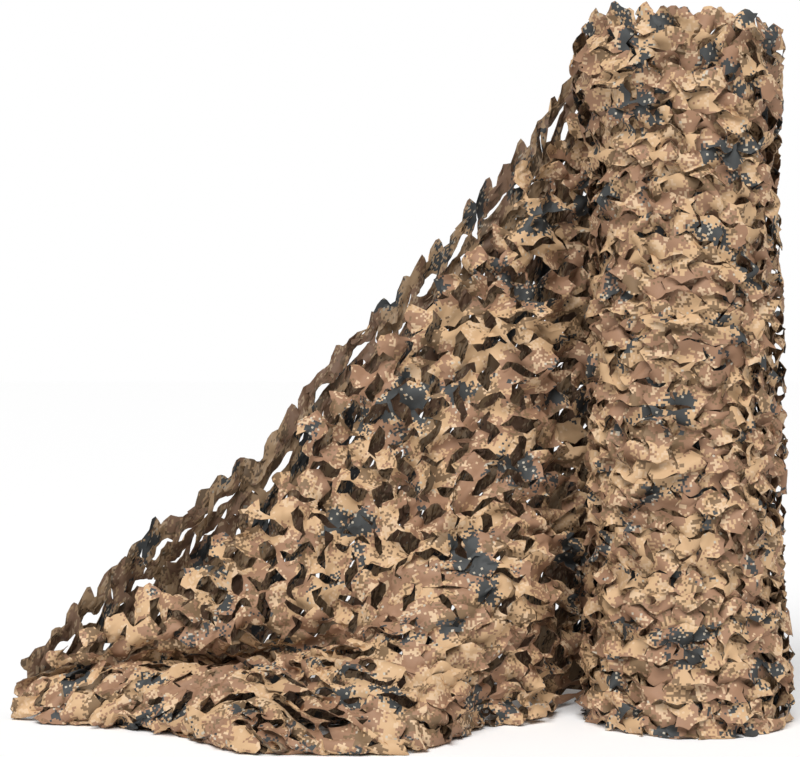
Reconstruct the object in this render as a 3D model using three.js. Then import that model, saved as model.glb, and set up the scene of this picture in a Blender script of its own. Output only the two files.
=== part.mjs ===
import * as THREE from 'three';

// A camouflage net of slit cloth, doubled along its length and wound into a standing roll.
// Its outer stretch is drawn off to the left, sinks to the floor and lies there in heaped folds.
// Millimetres, +Z up. +X runs to the roll's free side, +Y to the back.
// The origin is the middle of the roll's foot, on the floor.

// Cloth and slit pattern
const clothThickness = 3;
const slitHalfLength = 0.6; // share of the lattice pitch
const slitHalfOpening = 0.22; // share of the lattice pitch
const openAbove = 165; // slits lower than this lie closed in the heap
const leafRise = 13; // how far a leaf between four slits arches out of the cloth
const leafTip = 34; // how far a leaf stands past a cut edge
const leafLeast = 0.6; // the flattest leaf, as a share of the most arched one
const leafSag = 0.35; // every other leaf arches by this share only, or sinks by it
const clothColour = 0xa98762;
const clothRoughness = 0.85;

// Roll
const rollHeight = 1500;
const rollColumns = 24;
const rollRows = 26;
const rollLeafRise = 15;
const rollGap = 8; // depth of the gaps between leaves
const rollTip = 30; // leaf tips past the top edge
const wrapStep = 22; // step in the surface where the outer turn leaves the roll
const calmArc = 60; // degrees past the step on which the leaves are pressed flat
const turnPitch = 62; // distance between the main turns on the end of the roll
const endRings = 11;
const turnRelief = 16;
const footTriangle = 60; // radius of the triangle in the middle of the foot
const rollProfile = table(
  ['height', 'radius'],
  [
    [0, 226],
    [120, 221],
    [300, 209],
    [760, 204],
    [1300, 205],
    [1500, 203],
  ],
);

// Free stretch
const stretchColumns = 16;
const seatGap = 0.4; // between the roll's step and the free stretch
const layerGap = 12; // between the middles of the two layers where they leave the roll
const layerInset = 6.5; // from the roll's mean surface in to the front layer there
const edgeDrop = 14; // how much lower the back layer's edge lies there
const woundFront = [rollHeight, 960, 450, 400, 200]; // heights of the section's points there
const woundBack = [80, 180, 330, 900, rollHeight - edgeDrop];
const calmColumns = 4; // columns by the roll on which the leaves start to arch
const spanSteps = 14; // samples on each span between two points of a section
const leafyFrom = 60; // leaves lie flat on the floor and arch freely above leafyTo
const leafyTo = 220;

// Runs of a section from the front edge round to the back edge.
// Each has its spans between points of the section, its rows of leaves and how much these arch.
const runs = table(
  ['run', 'spans', 'rows', 'arch'],
  [
    ['hanging face', 2, 8, 1],
    ['tuck', 1, 1, 0],
    ['heap', 2, 4, 0.5],
    ['nose', 2, 2, 0],
    ['floor', 3, 4, 0],
    ['back', 2, 9, 1],
  ],
);

// Front layer, a row for each section from the roll to the far end.
// From the top edge down: hanging face, overhanging fold, tuck under it, crown of the heap, toe.
const frontFolds = table(
  ['x', 'edgeY', 'edgeZ', 'kneeY', 'kneeZ', 'foldY', 'foldZ', 'tuckY', 'tuckZ',
    'crownY', 'crownZ', 'toeY', 'noseRadius', 'noseAngle'],
  [
    [-120, 199, 1480, 199, 940, 201, 450, 202, 400, 208, 205, 213, 12, 70],
    [-255, 154, 1412, 140, 890, 128, 455, 126, 405, 108, 225, 75, 16, 40],
    [-430, 126, 1172, 100, 780, 58, 440, 66, 395, -60, 250, -130, 16, 15],
    [-600, 112, 968, 60, 650, -55, 400, -14, 318, -218, 200, -385, 17, 0],
    [-780, 105, 770, 30, 480, -94, 218, 8, 128, -240, 136, -412, 17, 0],
    [-960, 100, 580, 25, 370, -78, 180, 28, 84, -230, 110, -380, 17, 0],
    [-1110, 95, 432, 25, 285, -60, 166, 28, 74, -140, 92, -215, 17, 0],
    [-1250, 85, 320, 25, 225, -44, 154, 26, 66, -80, 80, -122, 16, 0],
    [-1365, 75, 192, 28, 168, -26, 130, 24, 60, -42, 64, -72, 14, 0],
    [-1462, 62, 104, 36, 98, 4, 88, 26, 48, -4, 38, -22, 10, 0],
  ],
);

// Back layer at the same sections.
// From the toe back along the floor to the heel, then up to its own, lower edge.
const backFolds = table(
  ['floorY', 'floorZ', 'heelY', 'heelZ', 'riseY', 'riseZ', 'kneeY', 'kneeZ', 'edgeY', 'edgeZ'],
  [
    [226, 80, 222, 180, 218, 330, 214, 880, 212, 1425],
    [160, 20, 180, 110, 186, 300, 184, 820, 180, 1320],
    [0, 40, 90, 8, 150, 130, 150, 640, 152, 1096],
    [-170, 55, 20, 1.5, 112, 115, 122, 520, 140, 884],
    [-200, 30, 30, 1.5, 122, 95, 130, 400, 135, 686],
    [-150, 1.5, 70, 1.5, 136, 85, 134, 300, 130, 504],
    [-60, 1.5, 80, 1.5, 134, 75, 132, 215, 126, 354],
    [-10, 1.5, 76, 1.5, 122, 60, 122, 150, 116, 246],
    [12, 1.5, 66, 1.5, 106, 45, 108, 95, 102, 138],
    [28, 1.5, 62, 1.5, 88, 28, 92, 52, 88, 74],
  ],
);

function table(names, rows) {
  return rows.map((row) => Object.fromEntries(names.map((name, k) => [name, row[k]])));
}

function wobble(i, j, seed) {
  const wave = Math.sin(i * 12.9898 + j * 78.233 + seed * 37.719) * 43758.5453;
  return wave - Math.floor(wave);
}

function uneven(column, row, seed) {
  return THREE.MathUtils.lerp(leafLeast, 1, wobble(column, row, seed));
}

function rollRadius(height) {
  let k = 0;
  while (k < rollProfile.length - 2 && height > rollProfile[k + 1].height) {
    k += 1;
  }
  const low = rollProfile[k];
  const high = rollProfile[k + 1];
  const share = THREE.MathUtils.smoothstep(height, low.height, high.height);
  return THREE.MathUtils.lerp(low.radius, high.radius, share);
}

// A closed surface that is filled vertex by vertex.
class Surface {
  constructor() {
    this.points = [];
    this.faces = [];
  }

  vertex(point) {
    this.points.push(point.clone());
    return this.points.length - 1;
  }

  face(...corners) {
    for (let k = 2; k < corners.length; k += 1) {
      this.faces.push([corners[0], corners[k - 1], corners[k]]);
    }
  }

  // Edges that only one face uses, in the direction of that face.
  openEdges() {
    const used = new Set(this.faces.flatMap(([a, b, c]) => [`${a},${b}`, `${b},${c}`, `${c},${a}`]));
    const pairs = [...used].map((key) => key.split(',').map(Number));
    return pairs.filter(([a, b]) => !used.has(`${b},${a}`));
  }

  mesh(name) {
    const geometry = new THREE.BufferGeometry();
    const numbers = this.points.flatMap((point) => point.toArray());
    geometry.setAttribute('position', new THREE.Float32BufferAttribute(numbers, 3));
    geometry.setIndex(this.faces.flat());
    geometry.computeVertexNormals();
    const material = new THREE.MeshStandardMaterial({
      color: clothColour,
      roughness: clothRoughness,
      metalness: 0,
    });
    const mesh = new THREE.Mesh(geometry, material);
    mesh.name = name;
    return mesh;
  }
}

// Roll

// A point of the outer turn. Column 0 starts behind the step, the last column ends on top of it.
function rollPoint(column, height, rise) {
  const share = column / rollColumns;
  const angle = Math.PI * (0.5 + 2 * share);
  const calm = share === 1 ? 0 : THREE.MathUtils.smoothstep(share * 360, 0, calmArc);
  const radius = rollRadius(height) + wrapStep * (share - 0.5) + rise * calm;
  return new THREE.Vector3(radius * Math.cos(angle), radius * Math.sin(angle), height);
}

function rollLeaf(column, row) {
  const crown = (column + row) % 2 ? 1 : leafSag;
  return rollLeafRise * crown * uneven(column, row, 1);
}

function endHeight(radius, column) {
  const phase = radius / turnPitch - column / rollColumns;
  return rollHeight - turnRelief * (1 - Math.cos(2 * Math.PI * phase));
}

function makeRoll() {
  const roll = new Surface();
  const rowHeight = rollHeight / rollRows;
  const rings = [];
  for (let row = 0; row <= rollRows; row += 1) {
    const ring = [];
    for (let column = 0; column <= rollColumns; column += 1) {
      const edge = column === 0 || column === rollColumns;
      const gap = edge || row === 0 ? 0 : -rollGap * wobble(column, row, 2);
      const tip = row === rollRows && !edge ? rollTip * wobble(column, row, 3) : 0;
      const point = rollPoint(column, row * rowHeight, gap);
      point.z += tip;
      ring.push(roll.vertex(point));
    }
    rings.push(ring);
  }
  for (let row = 0; row < rollRows; row += 1) {
    for (let column = 0; column < rollColumns; column += 1) {
      const low = rings[row];
      const high = rings[row + 1];
      const middle = rollPoint(column + 0.5, (row + 0.5) * rowHeight, rollLeaf(column, row));
      const crown = roll.vertex(middle);
      roll.face(low[column], low[column + 1], crown);
      roll.face(low[column + 1], high[column + 1], crown);
      roll.face(high[column + 1], high[column], crown);
      roll.face(high[column], low[column], crown);
    }
    roll.face(rings[row][rollColumns], rings[row][0], rings[row + 1][0], rings[row + 1][rollColumns]);
  }
  closeTop(roll, rings[rollRows]);
  closeFoot(roll, rings[0]);
  return roll.mesh('net_roll');
}

// The upper end, with the edges of the main turns as a spiral ridge.
function closeTop(roll, rim) {
  let outer = rim;
  for (let ring = 1; ring < endRings; ring += 1) {
    const inner = [];
    for (let column = 0; column <= rollColumns; column += 1) {
      const reach = rollPoint(column, rollHeight, 0).setZ(0).multiplyScalar(1 - ring / endRings);
      reach.z = endHeight(reach.length(), column);
      inner.push(roll.vertex(reach));
    }
    joinRings(roll, outer, inner);
    outer = inner;
  }
  const middle = roll.vertex(new THREE.Vector3(0, 0, rollHeight - turnRelief));
  for (let column = 0; column < rollColumns; column += 1) {
    roll.face(outer[column], outer[column + 1], middle);
  }
  roll.face(outer[rollColumns], outer[0], middle);
}

function joinRings(roll, outer, inner) {
  for (let column = 0; column < rollColumns; column += 1) {
    roll.face(outer[column], outer[column + 1], inner[column + 1], inner[column]);
  }
  roll.face(outer[rollColumns], outer[0], inner[0], inner[rollColumns]);
}

// The flat foot, with one triangle around the axis.
function closeFoot(roll, rim) {
  const corners = [0, 1, 2].map((k) => {
    const angle = Math.PI * (0.5 + (2 * k) / 3);
    return roll.vertex(new THREE.Vector3(Math.cos(angle), Math.sin(angle), 0).multiplyScalar(footTriangle));
  });
  const third = rollColumns / 3;
  for (let k = 0; k < 3; k += 1) {
    for (let column = k * third; column < (k + 1) * third; column += 1) {
      roll.face(rim[column + 1], rim[column], corners[k]);
    }
    const end = rim[(k + 1) * third];
    roll.face(end, corners[k], corners[(k + 1) % 3]);
  }
  roll.face(rim[0], rim[rollColumns], corners[0]);
  roll.face(corners[2], corners[1], corners[0]);
}

// Free stretch

// Where the doubled net leaves the roll it stands upright against the step, its fold at the floor.
function woundSection() {
  const upright = (height, layer) => {
    const depth = rollRadius(height) - layerInset + layer * layerGap;
    return new THREE.Vector3(-seatGap, depth, height);
  };
  const front = woundFront.map((height) => upright(height, 0));
  const nose = [layerGap + clothThickness, clothThickness / 2, layerGap + clothThickness];
  const turn = nose.map((height, k) => upright(0, k / 2).setZ(height));
  const back = woundBack.map((height) => upright(height, 1));
  return [...front, ...turn, ...back];
}

function heapedSection(front, back) {
  const at = (y, z) => new THREE.Vector3(front.x, y, z);
  const radius = front.noseRadius;
  const angle = THREE.MathUtils.degToRad(front.noseAngle);
  const middle = at(front.toeY + radius, clothThickness / 2 + radius);
  const aside = at(-Math.sin(angle), Math.cos(angle)).setX(0).multiplyScalar(radius);
  const ahead = at(-Math.cos(angle), -Math.sin(angle)).setX(0).multiplyScalar(radius);
  return [
    at(front.edgeY, front.edgeZ),
    at(front.kneeY, front.kneeZ),
    at(front.foldY, front.foldZ),
    at(front.tuckY, front.tuckZ),
    at(front.crownY, front.crownZ),
    middle.clone().add(aside),
    middle.clone().add(ahead),
    middle.clone().sub(aside),
    at(back.floorY, back.floorZ),
    at(back.heelY, back.heelZ),
    at(back.riseY, back.riseZ),
    at(back.kneeY, back.kneeZ),
    at(back.edgeY, back.edgeZ),
  ];
}

const sections = [woundSection(), ...frontFolds.map((front, k) => heapedSection(front, backFolds[k]))];
const rails = sections[0].map((_, k) => new THREE.CatmullRomCurve3(sections.map((section) => section[k])));
const lastRow = runs.reduce((sum, run) => sum + run.rows, 0);
const slices = new Map();

// The section at a share of the length, cut into its runs of points.
function sliceAt(share) {
  if (!slices.has(share)) {
    const path = new THREE.CatmullRomCurve3(rails.map((rail) => rail.getPointAt(share)));
    const dots = path.getPoints((rails.length - 1) * spanSteps);
    let from = 0;
    const cut = runs.map((run) => {
      const to = from + run.spans * spanSteps;
      const part = measured(dots.slice(from, to + 1));
      from = to;
      return part;
    });
    slices.set(share, cut);
  }
  return slices.get(share);
}

function measured(dots) {
  const reach = [0];
  for (let k = 1; k < dots.length; k += 1) {
    reach.push(reach[k - 1] + dots[k].distanceTo(dots[k - 1]));
  }
  return { dots, reach, length: reach[reach.length - 1] };
}

function along(part, share) {
  const goal = share * part.length;
  let k = 1;
  while (k < part.reach.length - 1 && part.reach[k] < goal) {
    k += 1;
  }
  const rest = (goal - part.reach[k - 1]) / (part.reach[k] - part.reach[k - 1]);
  return part.dots[k - 1].clone().lerp(part.dots[k], rest);
}

// The run that a row lies in, and how many rows come before it.
function runAt(row) {
  let index = 0;
  let before = 0;
  while (index < runs.length - 1 && row > before + runs[index].rows) {
    before += runs[index].rows;
    index += 1;
  }
  return { index, before };
}

function clothPoint(column, row) {
  const { index, before } = runAt(row);
  const part = sliceAt(column / stretchColumns)[index];
  const point = along(part, (row - before) / runs[index].rows);
  point.z = Math.max(point.z, clothThickness / 2);
  return point;
}

function clothNormal(column, row) {
  const step = 0.05;
  const before = Math.max(row - step, 0);
  const after = Math.min(row + step, lastRow);
  const left = Math.max(column - step, 0);
  const right = Math.min(column + step, stretchColumns);
  const lengthwise = clothPoint(right, row).sub(clothPoint(left, row));
  const crosswise = clothPoint(column, after).sub(clothPoint(column, before));
  return lengthwise.cross(crosswise).normalize();
}

// A slit at every inner lattice point of the hanging net, lengthwise and crosswise by turns.
// Fold lines between two runs stay whole.
function isOpen(column, row) {
  const { index, before } = runAt(row);
  const onFold = row === before || row === before + runs[index].rows;
  const inside = column > 0 && column < stretchColumns && !onFold;
  return inside && clothPoint(column, row).z > openAbove;
}

function makeStretch() {
  const outer = new Surface();
  const inner = [];
  const known = new Map();

  function place(key, column, row, rise, past) {
    if (!known.has(key)) {
      const normal = clothNormal(column, row);
      const point = clothPoint(column, row).addScaledVector(normal, rise).add(past);
      const half = clothThickness / 2;
      const outside = point.clone().addScaledVector(normal, half);
      const inside = point.clone().addScaledVector(normal, -half);
      outside.z = Math.max(outside.z, 0);
      known.set(key, outer.vertex(outside));
      inner.push(inside);
    }
    return known.get(key);
  }

  // The cut corner of a leaf: the lattice point itself, or the two points where its slit meets the edges.
  function corner(column, row, ways) {
    const still = new THREE.Vector3();
    if (!isOpen(column, row)) {
      return [place(`${column},${row}`, column, row, 0, still)];
    }
    const lengthwise = (column + row) % 2 === 0;
    return ways.map(([sideways, down]) => {
      const along = sideways !== 0;
      const cut = along === lengthwise ? slitHalfLength : slitHalfOpening;
      const key = `${column},${row},${sideways},${down}`;
      return place(key, column + sideways * cut, row + down * cut, 0, still);
    });
  }

  function tip(column, row, fromColumn, fromRow) {
    const edge = clothPoint(column, row);
    const past = edge.clone().sub(clothPoint(fromColumn, fromRow)).normalize();
    past.multiplyScalar(leafTip * uneven(column, row, 4));
    past.z = Math.max(past.z, -edge.z / 2);
    return [place(`tip,${column},${row}`, column, row, 0, past)];
  }

  const right = [1, 0];
  const left = [-1, 0];
  const down = [0, 1];
  const up = [0, -1];
  for (let row = 0; row < lastRow; row += 1) {
    for (let column = 0; column < stretchColumns; column += 1) {
      const middle = column + 0.5;
      const outline = [
        ...corner(column, row, [down, right]),
        ...(row === 0 && column > 0 ? tip(middle, 0, middle, 0.5) : []),
        ...corner(column + 1, row, [left, down]),
        ...(column === stretchColumns - 1 ? tip(column + 1, row + 0.5, middle, row + 0.5) : []),
        ...corner(column + 1, row + 1, [up, left]),
        ...(row === lastRow - 1 && column > 0 ? tip(middle, lastRow, middle, lastRow - 0.5) : []),
        ...corner(column, row + 1, [right, up]),
      ];
      const lift = THREE.MathUtils.smoothstep(clothPoint(middle, row + 0.5).z, leafyFrom, leafyTo);
      const fresh = runs[runAt(row + 0.5).index].arch * THREE.MathUtils.smoothstep(middle, 0, calmColumns);
      const crown = (column + row) % 2 ? 1 : -leafSag;
      const rise = leafRise * lift * fresh * crown * uneven(column, row, 5);
      const peak = place(`crown,${column},${row}`, middle, row + 0.5, rise, new THREE.Vector3());
      outline.forEach((point, k) => outer.face(point, outline[(k + 1) % outline.length], peak));
    }
  }

  const stretch = new Surface();
  outer.points.forEach((point) => stretch.vertex(point));
  inner.forEach((point) => stretch.vertex(point));
  const under = outer.points.length;
  outer.faces.forEach(([a, b, c]) => {
    stretch.face(a, b, c);
    stretch.face(under + c, under + b, under + a);
  });
  outer.openEdges().forEach(([a, b]) => stretch.face(b, a, under + a, under + b));
  return stretch.mesh('net_free_stretch');
}

const net = new THREE.Group();
net.add(makeRoll());
net.add(makeStretch());

export default net;
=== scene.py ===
import math

import bmesh
import bpy
import numpy as np
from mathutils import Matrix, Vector


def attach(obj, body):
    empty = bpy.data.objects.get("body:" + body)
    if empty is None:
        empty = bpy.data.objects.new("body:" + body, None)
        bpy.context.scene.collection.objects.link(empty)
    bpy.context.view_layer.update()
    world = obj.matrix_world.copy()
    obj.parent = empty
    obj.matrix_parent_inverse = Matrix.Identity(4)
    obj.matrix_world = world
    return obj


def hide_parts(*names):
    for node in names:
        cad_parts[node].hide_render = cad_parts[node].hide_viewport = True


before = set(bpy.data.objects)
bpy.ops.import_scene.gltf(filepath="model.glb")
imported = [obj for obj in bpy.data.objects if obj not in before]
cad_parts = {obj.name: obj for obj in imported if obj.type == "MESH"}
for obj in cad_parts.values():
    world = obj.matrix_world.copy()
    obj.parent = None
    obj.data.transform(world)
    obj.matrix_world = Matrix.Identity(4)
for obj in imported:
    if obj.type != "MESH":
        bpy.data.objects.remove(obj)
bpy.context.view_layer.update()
print("frame loaded")

scene = bpy.context.scene
pitch = 0.058        # one cell of the net where it hangs open
flatPitch = 0.056    # the same cell in the flat cloth, before its slits open
thickness = 0.0011

# least heights over the floor: of swollen surfaces, of settled points, and of the courses that they follow
floorSurface, floorPoint, floorCourse = 0.0012, 0.0014, 0.0015
lipLimits = (-0.34, 0.27)    # how far lips may lie over each other or part, in cells


# materials

class Wire:
    def __init__(self, tree, socket=None):
        self.tree = tree
        self.socket = socket

    def node(self, kind, settings=None, sockets=None, output=0):
        made = self.tree.nodes.new(kind)
        for name, value in (settings or {}).items():
            setattr(made, name, value)
        for name, value in (sockets or {}).items():
            if isinstance(value, Wire):
                self.tree.links.new(value.socket, made.inputs[name])
            else:
                made.inputs[name].default_value = value
        return Wire(self.tree, made.outputs[output])

    def maths(self, operation, first, second=0.0):
        return self.node("ShaderNodeMath", {"operation": operation}, {0: first, 1: second})

    def mix(self, factor, first, second):
        return self.node("ShaderNodeMix", {"data_type": "RGBA"}, {0: factor, 6: first, 7: second}, 2)

    def __add__(self, other):
        return self.maths("ADD", self, other)

    def __radd__(self, other):
        return self.maths("ADD", other, self)

    def __sub__(self, other):
        return self.maths("SUBTRACT", self, other)

    def __rsub__(self, other):
        return self.maths("SUBTRACT", other, self)

    def __mul__(self, other):
        return self.maths("MULTIPLY", self, other)

    def __rmul__(self, other):
        return self.maths("MULTIPLY", other, self)

    def __gt__(self, other):
        return self.maths("GREATER_THAN", self, other)

    def __lt__(self, other):
        return self.maths("LESS_THAN", self, other)


def ink(red, green, blue, dullAndShade=1.0):
    straight = [((c / 255 + 0.055) / 1.055) ** 2.4 * dullAndShade for c in (red, green, blue)]
    return (*straight, 1.0)


# a pixel print in four earth colours and slate, laid out by noise on the flat cloth, darkened by a factor
# that stands both for the cloth's duller back and for painted shade
def clothPrint(name, dullAndShade):
    material = bpy.data.materials.new(name)
    material.use_nodes = True
    tree = material.node_tree
    start = Wire(tree)
    flat = start.node("ShaderNodeUVMap", {"uv_map": "cloth"})
    pixel = start.node("ShaderNodeVectorMath", {"operation": "SNAP"}, {0: flat, 1: (0.0050, 0.0050, 1.0)})
    speck = start.node("ShaderNodeTexWhiteNoise", {"noise_dimensions": "2D"}, {"Vector": pixel})

    def cloud(scale, place, detail):
        moved = start.node("ShaderNodeVectorMath", {"operation": "ADD"}, {0: pixel, 1: place})
        return start.node(
            "ShaderNodeTexNoise",
            {"noise_dimensions": "2D"},
            {"Vector": moved, "Scale": scale, "Detail": detail, "Roughness": 0.62},
        )

    stray = speck - 0.5
    earth = cloud(9.0, (3.1, 7.7, 0.0), 2.0) + stray * 0.15
    sand = cloud(13.0, (11.3, 2.9, 0.0), 3.0) + stray * 0.20
    slate = cloud(7.5, (5.9, 17.1, 0.0), 2.5) + stray * 0.11
    light = cloud(24.0, (23.7, 1.3, 0.0), 1.0) + stray * 0.36
    colour = start.mix(earth > 0.47, ink(198, 163, 124, dullAndShade), ink(154, 118, 92, dullAndShade))
    colour = start.mix(sand > 0.595, colour, ink(126, 101, 74, dullAndShade))
    colour = start.mix(light > 0.685, colour, ink(208, 178, 144, dullAndShade))
    colour = start.mix(slate > 0.62, colour, ink(64, 66, 66, dullAndShade))
    colour = start.mix((slate > 0.60) * (speck > 0.955), colour, ink(188, 178, 160, dullAndShade))
    weave = start.node(
        "ShaderNodeTexNoise",
        {"noise_dimensions": "2D"},
        {"Vector": flat, "Scale": 620.0, "Detail": 1.0},
    )
    slub = start.node("ShaderNodeBump", {}, {"Strength": 0.25, "Distance": 0.0005, "Height": weave})
    shader = tree.nodes["Principled BSDF"]
    tree.links.new(colour.socket, shader.inputs["Base Color"])
    tree.links.new(slub.socket, shader.inputs["Normal"])
    tree.links.new((0.58 + 0.12 * weave).socket, shader.inputs["Roughness"])
    shader.inputs["Specular IOR Level"].default_value = 0.35
    return material


printedFace = clothPrint("printedFace", 1.0)
# the reverse: the same print, dulled as the cloth's back is, and darkened further as painted shade for the
# holes, slits and undersides between the layers
reverseDulledAndShaded = clothPrint("reverseDulledAndShaded", 0.40)
print("cloth print made")


# paths and surfaces

# centripetal curve through the points of the second last axis
def throughPoints(points, steps):
    before = 2 * points[..., :1, :] - points[..., 1:2, :]
    after = 2 * points[..., -1:, :] - points[..., -2:-1, :]
    ring = np.concatenate([before, points, after], axis=-2)
    p0, p1, p2, p3 = ring[..., :-3, :], ring[..., 1:-2, :], ring[..., 2:-1, :], ring[..., 3:, :]

    def root(first, second):
        return np.sqrt(np.linalg.norm(second - first, axis=-1, keepdims=True)) + 1e-6

    d0, d1, d2 = root(p0, p1), root(p1, p2), root(p2, p3)
    leave = ((p1 - p0) / d0 - (p2 - p0) / (d0 + d1) + (p2 - p1) / d1) * d1
    reach = ((p2 - p1) / d1 - (p3 - p1) / (d1 + d2) + (p3 - p2) / d2) * d1
    t = (np.arange(steps) / steps)[:, None]
    p1, p2, leave, reach = (a[..., None, :] for a in (p1, p2, leave, reach))
    spans = (
        p1
        + leave * t
        + (3 * p2 - 3 * p1 - 2 * leave - reach) * t**2
        + (2 * p1 - 2 * p2 + leave + reach) * t**3
    )
    path = spans.reshape(*points.shape[:-2], -1, 3)
    return np.concatenate([path, points[..., -1:, :]], axis=-2)


def lengthsAlong(path):
    steps = np.linalg.norm(np.diff(path, axis=0), axis=1)
    return np.concatenate([[0.0], np.cumsum(steps)])


# a surface as a grid of points, columns along the net and rows down it
class Surface:
    def __init__(self, grid, rowStep, outward, firstRow=0.0):
        self.rowStep = rowStep
        self.firstRow = firstRow
        along = np.gradient(grid, axis=0)
        down = np.gradient(grid, axis=1)
        normal = np.cross(along, down) * outward
        length = np.linalg.norm(normal, axis=2, keepdims=True)
        self.grid = grid
        self.normal = normal / np.maximum(length, 1e-9)

    def swell(self, amount):
        moved = self.grid + self.normal * amount[..., None]
        moved[..., 2] = np.maximum(moved[..., 2], floorSurface)
        return moved

    def blend(self, values, share, lengths):
        x = np.clip(share, 0, 1) * (values.shape[0] - 1)
        y = np.clip((lengths - self.firstRow) / self.rowStep, 0, values.shape[1] - 1)
        i = np.minimum(x.astype(int), values.shape[0] - 2)
        j = np.minimum(y.astype(int), values.shape[1] - 2)
        fx, fy = (x - i)[..., None], (y - j)[..., None]
        near = values[i, j] * (1 - fy) + values[i, j + 1] * fy
        far = values[i + 1, j] * (1 - fy) + values[i + 1, j + 1] * fy
        return near * (1 - fx) + far * fx

    # share runs over the columns and may pass the ends a little, as lengths may
    def at(self, share, lengths, lift):
        point = self.blend(self.grid, share, lengths)
        normal = self.blend(self.normal, share, lengths)
        normal /= np.maximum(np.linalg.norm(normal, axis=-1, keepdims=True), 1e-9)
        over = share - np.clip(share, 0, 1)
        side = self.blend(self.grid, np.clip(share, 0.02, 1), lengths) - self.blend(
            self.grid, np.clip(share, 0.02, 1) - 0.02, lengths
        )
        point = point + side * (over / 0.02)[..., None]
        return point + normal * lift[..., None]


# broad uneven swells, as waves of three lengths over a grid of the given size
def swells(shape, size, longest, rng):
    x = np.linspace(0, size[0], shape[0])[:, None]
    y = np.linspace(0, size[1], shape[1])[None, :]
    total = np.zeros(shape)
    for length, amount in ((1.0, 1.0), (0.55, 0.7), (0.31, 0.45)):
        for turn in range(3):
            angle = rng.uniform(0, math.pi)
            phase = rng.uniform(0, 2 * math.pi)
            run = x * math.cos(angle) + y * math.sin(angle)
            total += amount / 3 * np.sin(run * 2 * math.pi / (length * longest) + phase)
    return total


# the net's cells

# corner values of every cell, from values at the lattice points
def corners(values):
    return values[:-1, :-1], values[1:, :-1], values[1:, 1:], values[:-1, 1:]


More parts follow.
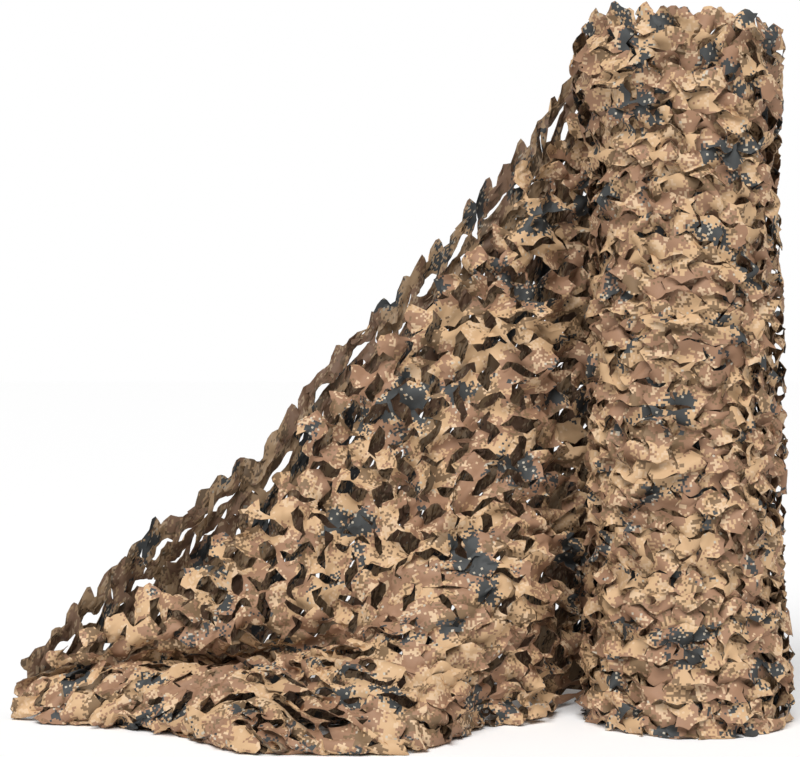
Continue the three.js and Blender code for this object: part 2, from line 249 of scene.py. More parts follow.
# Cells cut by wavy slits that run by turns along and across, so each cell holds on by four short bars and its
# lips stand open. Gives each point's place in cell units, its height, and its place in the uncut flat cell.
def leafNet(columns, rows, look, openness, calm=1.0):
    rng = np.random.default_rng(look["seed"])
    m = look["segments"]
    bar = look["bar"]
    lattice = (columns + 1, rows + 1)
    cells = (columns, rows)
    opens = look["opening"] * openness * rng.uniform(*look["spread"], lattice) - look["shut"] * (1 - openness)
    opens = np.clip(opens, *lipLimits)
    hands = rng.choice([-1.0, 1.0], lattice)
    bends = np.minimum(look["bend"] * rng.uniform(0.45, 1.35, lattice), 0.34) * hands * calm
    tips = rng.integers(2, m - 2, lattice) / (m - 1)
    rises = rng.uniform(0.6, 1.35, lattice)
    falls = rng.uniform(0.6, 1.35, lattice)
    sign = rng.choice([-1.0, 1.0], lattice, p=[0.4, 0.6])
    stir = look["rest"] + (1 - look["rest"]) * openness
    lifts = look["lift"] * stir * sign * rng.uniform(0.3, 1.2, lattice) * calm
    shiftX = rng.uniform(-1, 1, lattice) * look["jitter"] + look["warp"] * swells(lattice, lattice, 8.0, rng)
    shiftY = rng.uniform(-1, 1, lattice) * look["jitter"] + look["warp"] * swells(lattice, lattice, 8.0, rng)
    even = (np.add.outer(np.arange(columns), np.arange(rows)) % 2 == 0)
    odd = ~even
    l00, l10, l11, l01 = corners(lifts)
    heights = (l00, np.where(even, -l10, l10), -l11, np.where(even, l01, -l01))
    opens, bends, tips, rises, falls = (corners(values) for values in (opens, bends, tips, rises, falls))
    openHere = corners(openness)[0] * corners(calm + np.zeros(lattice))[0]
    k = np.arange(m + 1)
    sigma = np.minimum(k / (m - 1), 1.0)
    lip = k < m

    # one side of every cell, between its corners a and b: a lip from the slit's middle, then a bar
    def side(slitFirst, bay, a, b, fringe):
        def pick(values):
            near = np.where(slitFirst, values[a], values[b])[..., None]
            return near, np.where(slitFirst, values[b], values[a])[..., None]

        near, far = pick(opens)
        heightNear, heightFar = pick(heights)
        bow = pick(bends)[0] * np.where(bay, 1.0, -1.0)[..., None]
        tip, rise, fall = pick(tips)[0], pick(rises)[0], pick(falls)[0]
        upSlope = np.minimum(sigma / tip, 1) ** rise
        downSlope = np.minimum((1 - sigma) / (1 - tip), 1) ** fall
        wave = np.where(sigma < tip, upSlope, downSlope)
        peak = 0.3 + 0.4 * rng.random(cells)[..., None]
        tongue = np.where(sigma < peak, sigma / peak, (1 - sigma) / (1 - peak))
        stirHere = look["rest"] + (1 - look["rest"]) * openHere
        curl = rng.uniform(look["curlLow"], look["curlHigh"], cells)
        curl = curl[..., None] * np.where(bow > 0, 0.45, 1.0) * stirHere[..., None]
        along = np.where(lip, sigma * (1 - far - bar), 1 - far)
        inward = np.where(lip, near * (1 - sigma**2) + bow * wave, 0.0)
        height = heightNear * (1 - sigma**2) + 0.5 * heightFar * sigma**2 + curl * tongue**1.3
        height = np.where(lip, height, heightFar)
        flatAlong = np.where(lip, sigma * (1 - bar), 1.0) + np.zeros_like(along)
        flatIn = np.where(lip, bow * wave + np.minimum(near, 0) * (1 - sigma**2), 0.0)
        made = [np.where(slitFirst[..., None], v, v[..., ::-1]) for v in (inward, height, flatIn)]
        turnedAlong = [np.where(slitFirst[..., None], v, 1 - v[..., ::-1]) for v in (along, flatAlong)]
        reach = fringe[..., None] * np.clip(1 - np.abs(2 * turnedAlong[0] - 1), 0, 1) ** 0.85
        lean = reach * pitch * rng.uniform(-0.35, 0.45, cells)[..., None]
        return turnedAlong[0], made[0] - reach, made[1] + lean, turnedAlong[1], made[2] - reach

    def fringe(name, index):
        made = np.zeros(cells)
        made[index] = look.get(name, 0.0) * np.maximum(rng.uniform(-0.3, 1.3, made[index].shape), 0)
        return made

    top = side(even, even, 0, 1, fringe("first", np.s_[:, 0]))
    end = side(even, odd, 1, 2, fringe("far", np.s_[-1, :]))
    low = side(odd, even, 3, 2, fringe("last", np.s_[:, -1]))
    near = side(odd, odd, 0, 3, fringe("near", np.s_[0, :]))
    x = (k / m)[:, None]
    y = (k / m)[None, :]

    def fill(top, low, near, end, power=1.0):
        a, b = (1 - x) ** power, x**power
        c, d = (1 - y) ** power, y**power
        inside = c * top[..., :, None] + d * low[..., :, None]
        inside = inside + a * near[..., None, :] + b * end[..., None, :]
        return (
            inside
            - a * c * top[..., 0][..., None, None]
            - b * c * top[..., -1][..., None, None]
            - a * d * low[..., 0][..., None, None]
            - b * d * low[..., -1][..., None, None]
        )

    u = fill(top[0], low[0], near[1], 1 - end[1])
    v = fill(top[1], 1 - low[1], near[0], end[0])
    high = fill(top[2], low[2], near[2], end[2], 1.6)
    puff = look["puff"] * rng.normal(0, 1, cells)
    high = high + puff[..., None, None] * 16 * x * (1 - x) * y * (1 - y)
    flatX = fill(top[3], low[3], near[4], 1 - end[4])
    flatY = fill(top[4], 1 - low[4], near[3], end[3])
    flat = np.stack([flatX, flatY], axis=-1)

    def place(shift):
        s00, s10, s11, s01 = (c[..., None, None] for c in corners(shift))
        return s00 * (1 - u) * (1 - v) + s10 * u * (1 - v) + s11 * u * v + s01 * (1 - u) * v

    across = np.arange(columns)[:, None, None, None] + u + place(shiftX)
    down = np.arange(rows)[None, :, None, None] + v + place(shiftY)
    return across, down, high, flat


# one number for each point; the two points of every bar are shared by its two cells
def sharedPoints(columns, rows, m):
    ids = np.arange(columns * rows * (m + 1) ** 2).reshape(columns, rows, m + 1, m + 1)
    for i in range(columns):
        for j in range(rows):
            even = (i + j) % 2 == 0
            if j > 0:
                bar = [m - 1, m] if even else [0, 1]
                ids[i, j - 1, bar, m] = ids[i, j, bar, 0]
            if i > 0:
                bar = [0, 1] if even else [m - 1, m]
                ids[i - 1, j, m, bar] = ids[i, j, 0, bar]
    return ids


# Lets the cells shrink or spread to their flat lengths while their bars keep near their places, so the leaves
# bend, turn and buckle as cloth does instead of stretching. Leaves don't feel each other.
def settle(points, flat, first, second, look, guard):
    n = points.shape[1]
    every = slice(None)
    ties = []
    half = (n - 1) // 2
    stiff, straight = look["stiff"], look["straight"]
    kinds = [(1, 0, 1.0), (0, 1, 1.0), (1, 1, 0.8), (1, -1, 0.8), (2, 0, stiff), (0, 2, stiff)]
    for di, dj, hold in kinds + [(half, 0, straight), (0, half, straight)]:
        step = 2 * max(di, dj)
        for start in range(step):
            runA, runB = slice(start, n - max(di, dj), step), slice(start + max(di, dj), n, step)
            crossA, crossB = every, every
            if di == 1 and dj:
                crossA, crossB = (slice(0, n - 1), slice(1, n)) if dj > 0 else (slice(1, n), slice(0, n - 1))
            a = (every, runA, crossA) if di else (every, crossA, runA)
            b = (every, runB, crossB) if di else (every, crossB, runB)
            length = np.linalg.norm(flat[b] - flat[a], axis=-1, keepdims=True)
            if length.size:
                ties.append((a, b, length * (1.0 if step == 2 else look["ease"]), 0.5 * hold))
    loose = points.reshape(-1, 3)
    target = (loose[first] + loose[second]) / 2
    for turn in range(look["rounds"]):
        for a, b, length, hold in ties:
            gap = points[b] - points[a]
            size = np.sqrt(np.einsum("...k,...k", gap, gap))[..., None] + 1e-9
            gap *= hold * (1 - length / size)
            points[a] += gap
            points[b] -= gap
        middle = (loose[first] + loose[second]) / 2
        middle += look["keepPlace"] * (target - middle)
        loose[first] = middle
        loose[second] = middle
        guard(points)
    return points


# the corners of every small square in grids of point numbers
def cellQuads(ids):
    squares = [ids[..., :-1, :-1], ids[..., 1:, :-1], ids[..., 1:, 1:], ids[..., :-1, 1:]]
    return np.stack(squares, axis=-1).reshape(-1, 4)


# joins kept cells into one thin closed shell
def makeNet(name, points, flat, scale, keep, look, guard, skew=None):
    columns, rows, side = points.shape[:3]
    m = side - 1
    ids = sharedPoints(columns, rows, m)[keep]
    corner = np.stack(np.meshgrid(np.arange(columns), np.arange(rows), indexing="ij"), axis=-1)[keep]
    flat = flat[keep] * scale[keep][:, None, None] * flatPitch
    order = np.argsort(ids.ravel(), kind="stable")
    twice = np.diff(ids.ravel()[order]) == 0
    cut = flat
    if skew is not None:
        lean = np.clip(skew[keep], -0.8, 0.8)[:, None, None]
        cut = np.stack([flat[..., 0] + lean * flat[..., 1], flat[..., 1] * np.sqrt(1 - lean**2)], axis=-1)
    points = settle(np.ascontiguousarray(points[keep]), cut, order[:-1][twice], order[1:][twice], look, guard)
    flat = flat + corner[:, None, None] * flatPitch + np.array(look["place"])
    loops = cellQuads(np.arange(ids.size).reshape(ids.shape))
    if look["turned"]:
        loops = loops[:, ::-1]
    _, where, faces = np.unique(ids.ravel(), return_index=True, return_inverse=True)
    faces = faces.reshape(-1)[loops]
    return makeShell(name, points.reshape(-1, 3)[where], faces, flat.reshape(-1, 2)[loops])


def makeShell(name, points, faces, flat):
    mesh = bpy.data.meshes.new(name)
    mesh.from_pydata(points.tolist(), [], faces.tolist())
    layer = mesh.uv_layers.new(name="cloth")
    layer.data.foreach_set("uv", flat.ravel().astype(np.float32))
    mesh.materials.append(printedFace)
    mesh.materials.append(reverseDulledAndShaded)
    mesh.shade_smooth()
    made = bpy.data.objects.new(name, mesh)
    scene.collection.objects.link(made)
    shell = made.modifiers.new("thickness", "SOLIDIFY")
    shell.thickness = thickness
    shell.offset = -1.0
    # the inner shell and the rims take the reverse material, whose darkness is partly painted shade
    shell.material_offset = 1
    shell.material_offset_rim = 1
    solid = bpy.data.meshes.new_from_object(made.evaluated_get(bpy.context.evaluated_depsgraph_get()))
    made.modifiers.clear()
    made.data = solid
    solid.name = name
    solid.set_sharp_from_angle(angle=math.radians(42))
    print(name, len(solid.polygons), "faces")
    return made


# the free stretch, doubled over its lower fold

# x from the roll's axis, then depth and height of the top, knee, fold, tuck and crown, and the toe's depth,
# radius and slant
frontFolds = [
    (-0.120, 0.199, 1.500, 0.199, 0.940, 0.202, 0.450, 0.204, 0.400, 0.210, 0.205, 0.218, 0.012, 70),
    (-0.200, 0.176, 1.480, 0.174, 0.915, 0.176, 0.452, 0.178, 0.402, 0.184, 0.215, 0.192, 0.014, 55),
    (-0.262, 0.154, 1.405, 0.146, 0.890, 0.148, 0.455, 0.142, 0.405, 0.128, 0.290, 0.140, 0.016, 40),
    (-0.335, 0.092, 1.312, 0.044, 0.835, 0.016, 0.460, -0.014, 0.405, -0.074, 0.294, -0.062, 0.016, 25),
    (-0.430, 0.090, 1.190, 0.048, 0.780, 0.014, 0.465, -0.024, 0.405, -0.105, 0.295, -0.092, 0.016, 15),
    (-0.600, 0.096, 0.985, 0.040, 0.650, -0.045, 0.420, -0.100, 0.345, -0.200, 0.225, -0.385, 0.017, 0),
    (-0.780, 0.092, 0.808, 0.030, 0.480, -0.092, 0.240, -0.070, 0.176, -0.190, 0.150, -0.412, 0.017, 0),
    (-0.960, 0.072, 0.592, 0.010, 0.370, -0.082, 0.212, 0.050, 0.120, -0.120, 0.122, -0.380, 0.017, 0),
    (-1.110, 0.052, 0.455, 0.000, 0.285, -0.062, 0.206, 0.045, 0.112, -0.070, 0.116, -0.215, 0.017, 0),
    (-1.250, 0.046, 0.362, 0.004, 0.240, -0.046, 0.192, 0.040, 0.108, -0.045, 0.112, -0.132, 0.016, 0),
    (-1.365, 0.052, 0.222, 0.012, 0.190, -0.036, 0.156, 0.030, 0.100, -0.030, 0.094, -0.088, 0.014, 0),
    (-1.470, 0.062, 0.118, 0.036, 0.104, 0.004, 0.088, 0.026, 0.062, -0.004, 0.050, -0.030, 0.010, 0),
]
# depth and height of the floor run, heel, rise and knee of the layer behind, and its edge's height over
# the front's top
backFolds = [
    (0.242, 0.080, 0.242, 0.180, 0.241, 0.330, 0.240, 0.880, 0.000),
    (0.208, 0.050, 0.212, 0.145, 0.212, 0.315, 0.208, 0.850, 0.000),
    (0.180, 0.020, 0.190, 0.110, 0.192, 0.300, 0.186, 0.820, -0.022),
    (0.075, 0.030, 0.135, 0.050, 0.168, 0.210, 0.166, 0.730, -0.028),
    (0.000, 0.040, 0.090, 0.008, 0.150, 0.130, 0.150, 0.640, -0.018),
    (-0.170, 0.055, 0.020, 0.0015, 0.112, 0.115, 0.122, 0.520, -0.008),
    (-0.200, 0.030, 0.030, 0.0015, 0.122, 0.095, 0.130, 0.400, -0.010),
    (-0.150, 0.0015, 0.070, 0.0015, 0.136, 0.085, 0.134, 0.300, -0.018),
    (-0.060, 0.0015, 0.080, 0.0015, 0.134, 0.075, 0.132, 0.215, -0.004),
    (-0.010, 0.0015, 0.076, 0.0015, 0.122, 0.060, 0.122, 0.150, -0.012),
    (0.012, 0.0015, 0.066, 0.0015, 0.106, 0.045, 0.108, 0.110, 0.000),
    (0.028, 0.0015, 0.062, 0.0015, 0.088, 0.028, 0.092, 0.065, -0.008),
]
rollHeights = [0.0, 0.12, 0.30, 0.76, 1.30, 1.50]
rollRadii = [0.226, 0.221, 0.209, 0.204, 0.205, 0.203]


def rollRadius(z):
    z = np.clip(z, 0, rollHeights[-1])
    k = np.clip(np.searchsorted(rollHeights, z, side="right") - 1, 0, len(rollHeights) - 2)
    low, high = np.array(rollHeights)[k], np.array(rollHeights)[k + 1]
    t = (z - low) / (high - low)
    t = t * t * (3 - 2 * t)
    return np.array(rollRadii)[k] * (1 - t) + np.array(rollRadii)[k + 1] * t


# how far the front layer's edge lies under the top, by place left of the roll's axis
edgePlaces = [0.60, 0.78, 0.96, 1.11, 1.25, 1.365, 1.47]
edgeDrops = [0.04, 0.025, 0.06, 0.095, 0.075, 0.025, 0.008]


# the front layer's points from its edge, a little under the crest, down to the floor run
def frontSection(front, back):
    x, toe, radius, slant = front[0], front[11], front[12], math.radians(front[13])
    under = np.interp(-x, edgePlaces, edgeDrops)
    hanging = [(front[1 + 2 * k], front[2 + 2 * k] - (under if k == 0 else 0)) for k in range(5)]
    middleY, middleZ = toe + radius, floorCourse + radius
    outY, outZ = -math.sin(slant) * radius, math.cos(slant) * radius
    nose = [
        (middleY + outY, middleZ + outZ),
        (middleY - math.cos(slant) * radius, middleZ - math.sin(slant) * radius),
        (middleY - outY, middleZ - outZ),
    ]
    return [(x, y, z) for y, z in hanging + nose + [back[:2]]]


def backSection(front, back):
    under = (front[11] + 2 * front[12], floorCourse)
    edge = (front[1] + 0.023, front[2] + back[8])
    beyond = (edge[0] + 0.012, edge[1] + 0.10)
    return [(front[0], y, z) for y, z in [beyond, edge, back[6:8], back[4:6], back[2:4], back[:2], under]]


gridColumns = 190
spanSteps = 16
leftEnd = 1.47
levelPitch = 0.058    # rows of the hanging net
heapPitch = 0.046     # rows where its slits are shut
rowSlope = 0.10       # rows fall a little away from the roll
rowGrid = 0.12
shares = np.linspace(0, 1, gridColumns)


def ramp(value, low, high):
    t = np.clip((value - low) / (high - low), 0, 1)
    return t * t * (3 - 2 * t)


# the crest falls in small uneven steps, about one to a column of cells
crestRng = np.random.default_rng(17)
crestKnots = np.linspace(0, 1, 49)
crestSteps = np.interp(shares, crestKnots, np.tile([0.012, -0.012], 25)[:49] * crestRng.uniform(0.2, 1.8, 49))


# courses down the net, one for each share of its length; the lower points lean away from the roll
def coursesThrough(sections, leanFrom, crest):
    sections = np.array(sections)
    rails = []
    for k in range(sections.shape[1]):
        rail = throughPoints(sections[:, k], 24)
        rail = np.concatenate([[(0.0, rail[0, 1], rail[0, 2])], rail])
        run = lengthsAlong(rail) / lengthsAlong(rail)[-1]
        even = np.interp(shares, run, -rail[:, 0])
        lean = 0.7 * ramp(k, leanFrom - 2.0, leanFrom + 3.0)
        x = (1 - lean) * leftEnd * shares + lean * even + 0.05 * lean * np.sin(math.pi * shares)
        rails.append(np.stack([np.interp(x, -rail[:, 0], rail[:, c]) for c in range(3)], axis=1))
        rails[-1][:, 2] += crest[k] * ramp(shares, 0.08, 0.16) * crestSteps
    courses = throughPoints(np.stack(rails, axis=1), spanSteps)
    courses[..., 2] = np.maximum(courses[..., 2], floorCourse)
    return courses


# row numbers along a course: level rows down to the fold, then rows by length
def rowNumbers(course, fold):
    run = lengthsAlong(course)
    rows = (1.5 - course[:, 2] + rowSlope * course[:, 0]) / levelPitch + 2
    rows[fold:] = rows[fold] + (run[fold:] - run[fold]) / heapPitch
    return np.maximum.accumulate(rows + np.arange(len(rows)) * 1e-5)


# row numbers along a course by length alone, from its free edge
def edgeNumbers(course, edge):
    run = lengthsAlong(course)
    return (run - run[edge]) / heapPitch


def levelGrid(courses, numbers, firstRow=0.0):
    wanted = np.arange(firstRow, rowCount, rowGrid)
    made = [
        np.stack([np.interp(wanted, rows, course[:, c]) for c in range(3)], axis=1)
        for course, rows in zip(courses, numbers)
    ]
    return np.stack(made)


rowCount = 50
frontCourses = coursesThrough([frontSection(f, b) for f, b in zip(frontFolds, backFolds)], 2, [0.5] + [0] * 8)
frontFold, frontToe = 2 * spanSteps, 7 * spanSteps
frontRows = np.array([rowNumbers(course, frontFold) for course in frontCourses])
backCourses = coursesThrough([backSection(f, b) for f, b in zip(frontFolds, backFolds)], 3, [1, 1] + [0] * 5)
backCrest = spanSteps
backRows = np.array([edgeNumbers(course, backCrest) for course in backCourses])

frontSurface = Surface(levelGrid(frontCourses, frontRows), rowGrid, 1.0)
frontShape = frontSurface.grid.shape[:2]
frontSwell = 0.010 * swells(frontShape, (1.5, 2.2), 0.6, np.random.default_rng(5))
frontSurface = Surface(frontSurface.swell(frontSwell * ramp(shares, 0.08, 0.25)[:, None]), rowGrid, 1.0)
toothRows = -2.0      # rows kept over the edge behind, for its teeth to rise into
backSurface = Surface(levelGrid(backCourses, backRows, toothRows), rowGrid, -1.0, toothRows)

frontLook = {
    "seed": 21, "place": (0.0, 0.0), "turned": False, "columns": 24, "segments": 8, "bar": 0.18,
    "opening": 0.18, "spread": (0.4, 1.5), "bend": 0.30, "lift": 0.042, "jitter": 0.10, "warp": 0.18,
    "curlLow": -0.022, "curlHigh": 0.046, "puff": 0.006, "far": 0.1, "rounds": 90, "stiff": 0.3,
    "straight": 0.3, "ease": 0.95, "keepPlace": 0.14, "slack": 0.98, "shut": 0.02, "give": 0.12,
    "skew": 0.0, "least": 1.0, "rest": 0.3, "pressed": 0.3,
}
backLook = dict(
    frontLook, seed=34, place=(4.0, 0.0), turned=True, columns=39, segments=6, bar=0.36, opening=0.30,
    shut=0.34, spread=(-2.4, 1.1), bend=0.24, lift=0.032, curlHigh=0.045, rounds=60, slack=0.86, skew=1.0,
    least=0.70, first=0.7, rest=0.07, pressed=1.0,
)


# how far the slits stand open: wide where the net hangs, nearly shut where it lies in the heap
def frontOpenness(share, rows):
    fold = np.interp(share, shares, frontRows[:, frontFold])
    heaped = ramp(rows, fold - 1.0, fold + 2.0) * ramp(share, 0.12, 0.36)
    return 1 - 0.8 * np.maximum(heaped, ramp(share, 0.86, 0.94))


# behind, only a band under the edge stands open
def backOpenness(share, rows):
    return ramp(rows, 0.3, 1.0) * (1 - ramp(rows, 1.4, 2.8))


def aboveFloor(points):
    np.maximum(points[..., 2], floorPoint, out=points[..., 2])


# slack of the wound net on its free side, by height, and its swelling where the free stretch leaves it
slackHeights = [0.0, 0.14, 0.34, 0.62, 0.90, 1.19, 1.44]
slackDepths = [0.004, 0.012, 0.001, 0.010, 0.003, -0.010, 0.005]
topSwell = {"amount": 0.042, "height": 1.43, "spread": 0.10}


# radius of the wound net's outside
def rollSkin(angle, z):
    left = np.clip(-np.cos(angle), 0, 1) ** 2
    right = np.clip(np.cos(angle), 0, 1) ** 2
    slack = np.interp(z, slackHeights, slackDepths)
    swollen = np.exp(-(((z - topSwell["height"]) / topSwell["spread"]) ** 2))
    return rollRadius(z) + topSwell["amount"] * left * swollen + slack * right


# gap between the roll and the parting of the two layers, by place left of the roll's axis
partingPlaces = [-0.05, 0.08, 0.12, 0.16, 0.20, 0.26]
partingGaps = [0.029, 0.031, 0.038, 0.056, 0.072, 0.106]
partingRoom = 0.001
leafRoom = 0.016    # between the roll's outside and the front layer


# moves points beside the roll to the radius that press gives
def besideRoll(points, press):
    aboveFloor(points)
    x, y, z = points[..., 0], points[..., 1], points[..., 2]
    radius = np.hypot(x, y)
    parting = rollRadius(z) + np.interp(-x, partingPlaces, partingGaps)
    pressed = press(radius, rollSkin(np.arctan2(y, x), z), parting)
    share = np.where(x > -partingPlaces[-1], pressed / np.maximum(radius, 1e-9), 1.0)
    points[..., :2] *= share[..., None]


# where the free stretch leaves the roll, its front layer lies between the roll and the layer behind
def frontGuard(points):
    def press(radius, skin, parting):
        return np.minimum(np.maximum(radius, skin + leafRoom), parting - partingRoom)

    besideRoll(points, press)


def backGuard(points):
    def press(radius, skin, parting):
        return np.maximum(radius, parting + partingRoom)

    besideRoll(points, press)


# cells are cut larger where the net is drawn out further than its slits can open
def cellScale(lattice, openness, look):
    wide, tall = np.diff(lattice, axis=0), np.diff(lattice, axis=1)
    wide, tall = (wide[:, :-1] + wide[:, 1:]) / 2, (tall[:-1] + tall[1:]) / 2
    sizes = np.stack([np.linalg.norm(wide, axis=-1), np.linalg.norm(tall, axis=-1)], axis=-1)
    skew = look["skew"] * (wide * tall).sum(axis=-1) / np.maximum(sizes.prod(axis=-1), 1e-9)
    stretch = look["slack"] + look["give"] * ramp(corners(openness)[0], 0.35, 1.0)
    return np.clip(sizes / (stretch[..., None] * flatPitch), look["least"], 1.6), skew


# one layer of the free stretch, between its first and last rows; also gives its area in flat cells
def stretchNet(name, surface, firstRows, lastRows, look, openness, guard):
    columns, rows = look["columns"], rowCount - 1
    share = np.arange(columns + 1)[:, None] / columns + np.zeros(rows + 1)
    row = np.arange(rows + 1)[None, :] + np.zeros_like(share)
    slits = openness(share, row)
    low = np.interp(share, shares, firstRows)
    high = np.interp(share, shares, lastRows)
    held = (row > low - 0.01) & (row < high)
    pressed = look["pressed"] + (1 - look["pressed"]) * ramp(share, 0.10, 0.17)
    calm = (0.6 + 0.4 * ramp(row, low + 0.6, low + 1.9)) * pressed
    across, down, lift, flat = leafNet(columns, rows, look, slits, calm)
    points = surface.at(across / columns, down, lift)
    scale, skew = cellScale(surface.at(share, row, np.zeros_like(share)), slits, look)
    keep = np.logical_and.reduce(corners(held))
    guard(points)
    net = makeNet(name, points, flat, scale, keep, look, guard, skew)
    return net, float((scale[keep].prod(axis=-1)).sum())


# the layer behind ends where the front layer's floor run does, but beside the roll it reaches the floor
rollShare = 0.17
frontEnds = frontRows[:, frontToe + spanSteps]
backEnds = np.where(shares < rollShare, backRows[:, 6 * spanSteps], backRows[:, 5 * spanSteps])
netFront, frontCells = stretchNet(
    "netFront", frontSurface, frontRows[:, 0], frontEnds, frontLook, frontOpenness, frontGuard
)
netBack, backCells = stretchNet(
    "netBack", backSurface, backRows[:, backCrest], backEnds, backLook, backOpenness, backGuard
)
print("free stretch made", round(frontCells), round(backCells), "flat cells")


# the roll

rollHeight = 1.5
tipHeight = 1.572    # no leaf tip stands higher
wrapStep = 0.022
rollLook = {
    "seed": 55, "place": (8.0, 0.0), "turned": False, "inset": 0.004, "segments": 6, "bar": 0.18,
    "opening": 0.10, "spread": (0.05, 1.5), "bend": 0.24, "lift": 0.026, "jitter": 0.17, "warp": 0.36,
    "curlLow": -0.010, "curlHigh": 0.024, "puff": 0.004, "last": 0.6, "rounds": 80, "stiff": 0.5,
    "straight": 0.8, "ease": 1.0, "keepPlace": 0.10, "depth": 0.012, "proud": 0.018, "press": 0.4,
    "cut": (0.94, 0.76), "shut": 0.0, "rise": 0.03, "rest": 0.3,
}
innerLook = dict(
    rollLook, seed=89, place=(12.0, 0.0), inset=0.023, segments=5, rounds=50, depth=0.010, proud=0.004,
    press=1.0,
)


# one turn round the roll, its leaves kept between a depth under the skin and a height over it
def rollNet(name, columns, rows, look):
    openness = np.ones((columns + 1, rows + 1))
    across, down, high, flat = leafNet(columns, rows, look, openness)
    share = across / columns
    angle = math.pi * (0.5 + 2 * share)
    z = down / rows * (rollHeight + look["rise"] * (1 - np.cos(angle - 0.6)) / 2)
    radius = rollSkin(angle, z) + wrapStep * (share - 0.5) - look["inset"] + high
    points = np.stack([np.cos(angle) * radius, np.sin(angle) * radius, np.maximum(z, floorPoint)], axis=-1)

    def outsideTurns(points):
        aboveFloor(points)
        np.minimum(points[..., 2], tipHeight, out=points[..., 2])
        radius = np.hypot(points[..., 0], points[..., 1])
        skin = rollSkin(np.arctan2(points[..., 1], points[..., 0]), points[..., 2]) - look["inset"]
        pressed = np.maximum(radius, skin - look["depth"])
        pressed = pressed - look["press"] * np.maximum(pressed - skin - look["proud"], 0)
        points[..., :2] *= (pressed / radius)[..., None]

    every = np.ones((columns, rows), bool)
    cut = np.ones((columns, rows, 2)) * look["cut"]
    return makeNet(name, points, flat, cut, every, look, outsideTurns)


rollOuter = rollNet("rollOuter", 26, 39, rollLook)
rollInner = rollNet("rollInner", 25, 38, innerLook)

# the inner turns, a plain wound sheet below and leaves at the top end
turns = {"inner": 0.028, "outer": 0.152, "pitch": 0.0145, "plainTop": 1.365, "ripple": 0.0035}
turnCount = (turns["outer"] - turns["inner"]) / turns["pitch"]
turnAngles = np.linspace(0, turnCount * 2 * math.pi, 700)


def turnRadius(angle):
    base = turns["inner"] + turns["pitch"] * angle / (2 * math.pi)
    wave = np.sin(3 * angle + 0.7 * base / turns["pitch"])
    return base + turns["ripple"] * wave * np.clip(base / 0.1, 0, 1)


woundLengths = np.concatenate([[0], np.cumsum(turnRadius(turnAngles[1:]) * np.diff(turnAngles))])
woundLength = float(woundLengths[-1])
plainColumns, plainRows = 330, 4
plainAngles = np.interp(np.linspace(0, woundLength, plainColumns + 1), woundLengths, turnAngles)
plainRadius = turnRadius(plainAngles)
plainZ = np.linspace(0.004, turns["plainTop"], plainRows + 1)
plainPoints = np.stack(
    [
        np.repeat(np.cos(plainAngles) * plainRadius, plainRows + 1),
        np.repeat(np.sin(plainAngles) * plainRadius, plainRows + 1),
        np.tile(plainZ, plainColumns + 1),
    ],
    axis=1,
)
plainIds = np.arange((plainColumns + 1) * (plainRows + 1)).reshape(plainColumns + 1, plainRows + 1)
plainFaces = cellQuads(plainIds)
plainRun = np.linspace(0, woundLength, plainColumns + 1)
plainFlat = np.stack([np.repeat(plainRun, plainRows + 1), np.tile(plainZ, plainColumns + 1)], axis=1)
rollTurns = makeShell("rollTurns", plainPoints, plainFaces, plainFlat[plainFaces] + 20.0)

endLook = dict(
    rollLook, seed=144, place=(16.0, 0.0), segments=5, curlHigh=0.012, lift=0.006, puff=0.002, last=0.5,
    jitter=0.1, rounds=30,
)
endPitch = {"along": 0.050, "up": 0.055}    # a little gathered
endColumns, endRows = int(woundLength / endPitch["along"]), 2
across, down, high, flat = leafNet(endColumns, endRows, endLook, np.ones((endColumns + 1, endRows + 1)))
endAngle = np.interp(np.clip(across / endColumns, 0, 1) * woundLength, woundLengths, turnAngles)
endRadius = turnRadius(endAngle) + high * 0.5
endZ = turns["plainTop"] + 0.005 + down * endPitch["up"]
endPoints = np.stack([np.cos(endAngle) * endRadius, np.sin(endAngle) * endRadius, endZ], axis=-1)
endAll = np.ones((endColumns, endRows), bool)


def aboveTurns(points):
    np.maximum(points[..., 2], turns["plainTop"] + 0.002, out=points[..., 2])


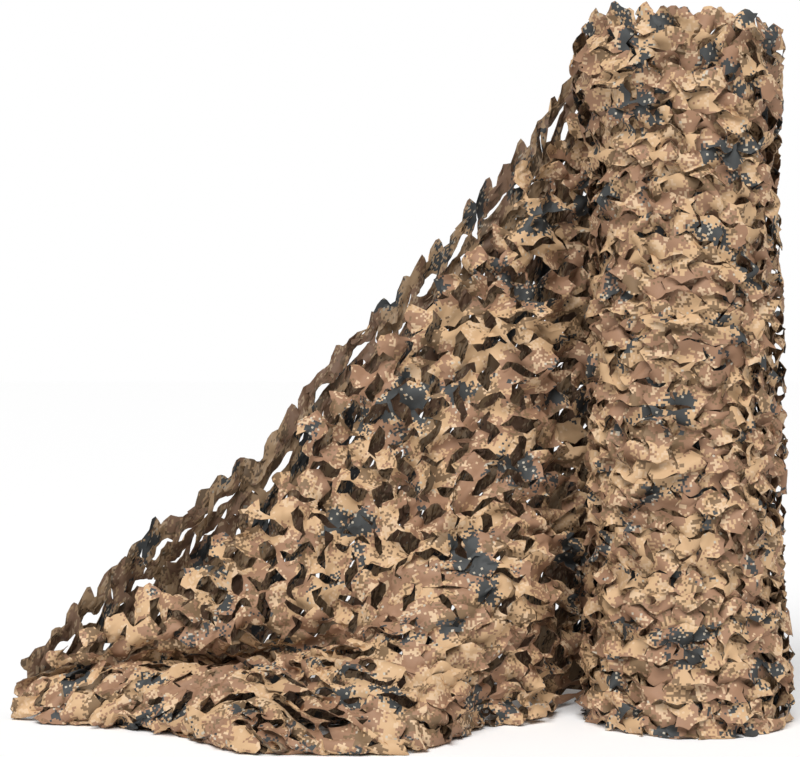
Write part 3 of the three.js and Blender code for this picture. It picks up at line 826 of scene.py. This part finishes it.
endCut = np.ones((endColumns, endRows, 2))
rollEnd = makeNet("rollEnd", endPoints, flat, endCut, endAll, endLook, aboveTurns)
print("roll made, wound length", round(woundLength, 2))


# how the pieces belong to the part


for piece, node in (
    (netFront, "net_free_stretch"),
    (netBack, "net_free_stretch"),
    (rollOuter, "net_roll"),
    (rollInner, "net_roll"),
    (rollTurns, "net_roll"),
    (rollEnd, "net_roll"),
):
    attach(piece, "root")
    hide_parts(node)

print("pieces declared")


# floor, light and camera

floorMesh = bpy.data.meshes.new("floor")
sheet = bmesh.new()
bmesh.ops.create_grid(sheet, x_segments=1, y_segments=1, size=60.0)
sheet.to_mesh(floorMesh)
sheet.free()
floor = bpy.data.objects.new("floor", floorMesh)
scene.collection.objects.link(floor)
floorPaint = bpy.data.materials.new("floorPaint")
floorPaint.use_nodes = True
floorPaint.node_tree.nodes["Principled BSDF"].inputs["Base Color"].default_value = (1.0, 1.0, 1.0, 1.0)
floorPaint.node_tree.nodes["Principled BSDF"].inputs["Roughness"].default_value = 0.9
floorMesh.materials.append(floorPaint)


def sunLight(name, direction, spread, power):
    lamp = bpy.data.lights.new(name, "SUN")
    lamp.angle = math.radians(spread)
    lamp.energy = power
    made = bpy.data.objects.new(name, lamp)
    made.rotation_euler = Vector(direction).to_track_quat("-Z", "Y").to_euler()
    scene.collection.objects.link(made)


sunLight("key", (0.12, 0.80, -0.95), 40, 3.28)
scene.world = bpy.data.worlds.new("studio")
scene.world.use_nodes = True
sky = scene.world.node_tree
sky.nodes["Background"].inputs["Color"].default_value = (1.0, 1.0, 1.0, 1.0)
seen = Wire(sky).node("ShaderNodeLightPath")
sky.links.new((0.25 + 0.75 * seen).socket, sky.nodes["Background"].inputs["Strength"])
scene.view_settings.view_transform = "Standard"

camera = bpy.data.objects.new("camera", bpy.data.cameras.new("camera"))
camera.data.sensor_width = 36.0
camera.data.sensor_fit = "HORIZONTAL"
camera.data.lens = 85.3
camera.location = (-0.627, -4.2, 0.80)
camera.rotation_euler = (Vector((-0.627, 0.0, 0.7546)) - camera.location).to_track_quat("-Z", "Y").to_euler()
scene.collection.objects.link(camera)
scene.camera = camera
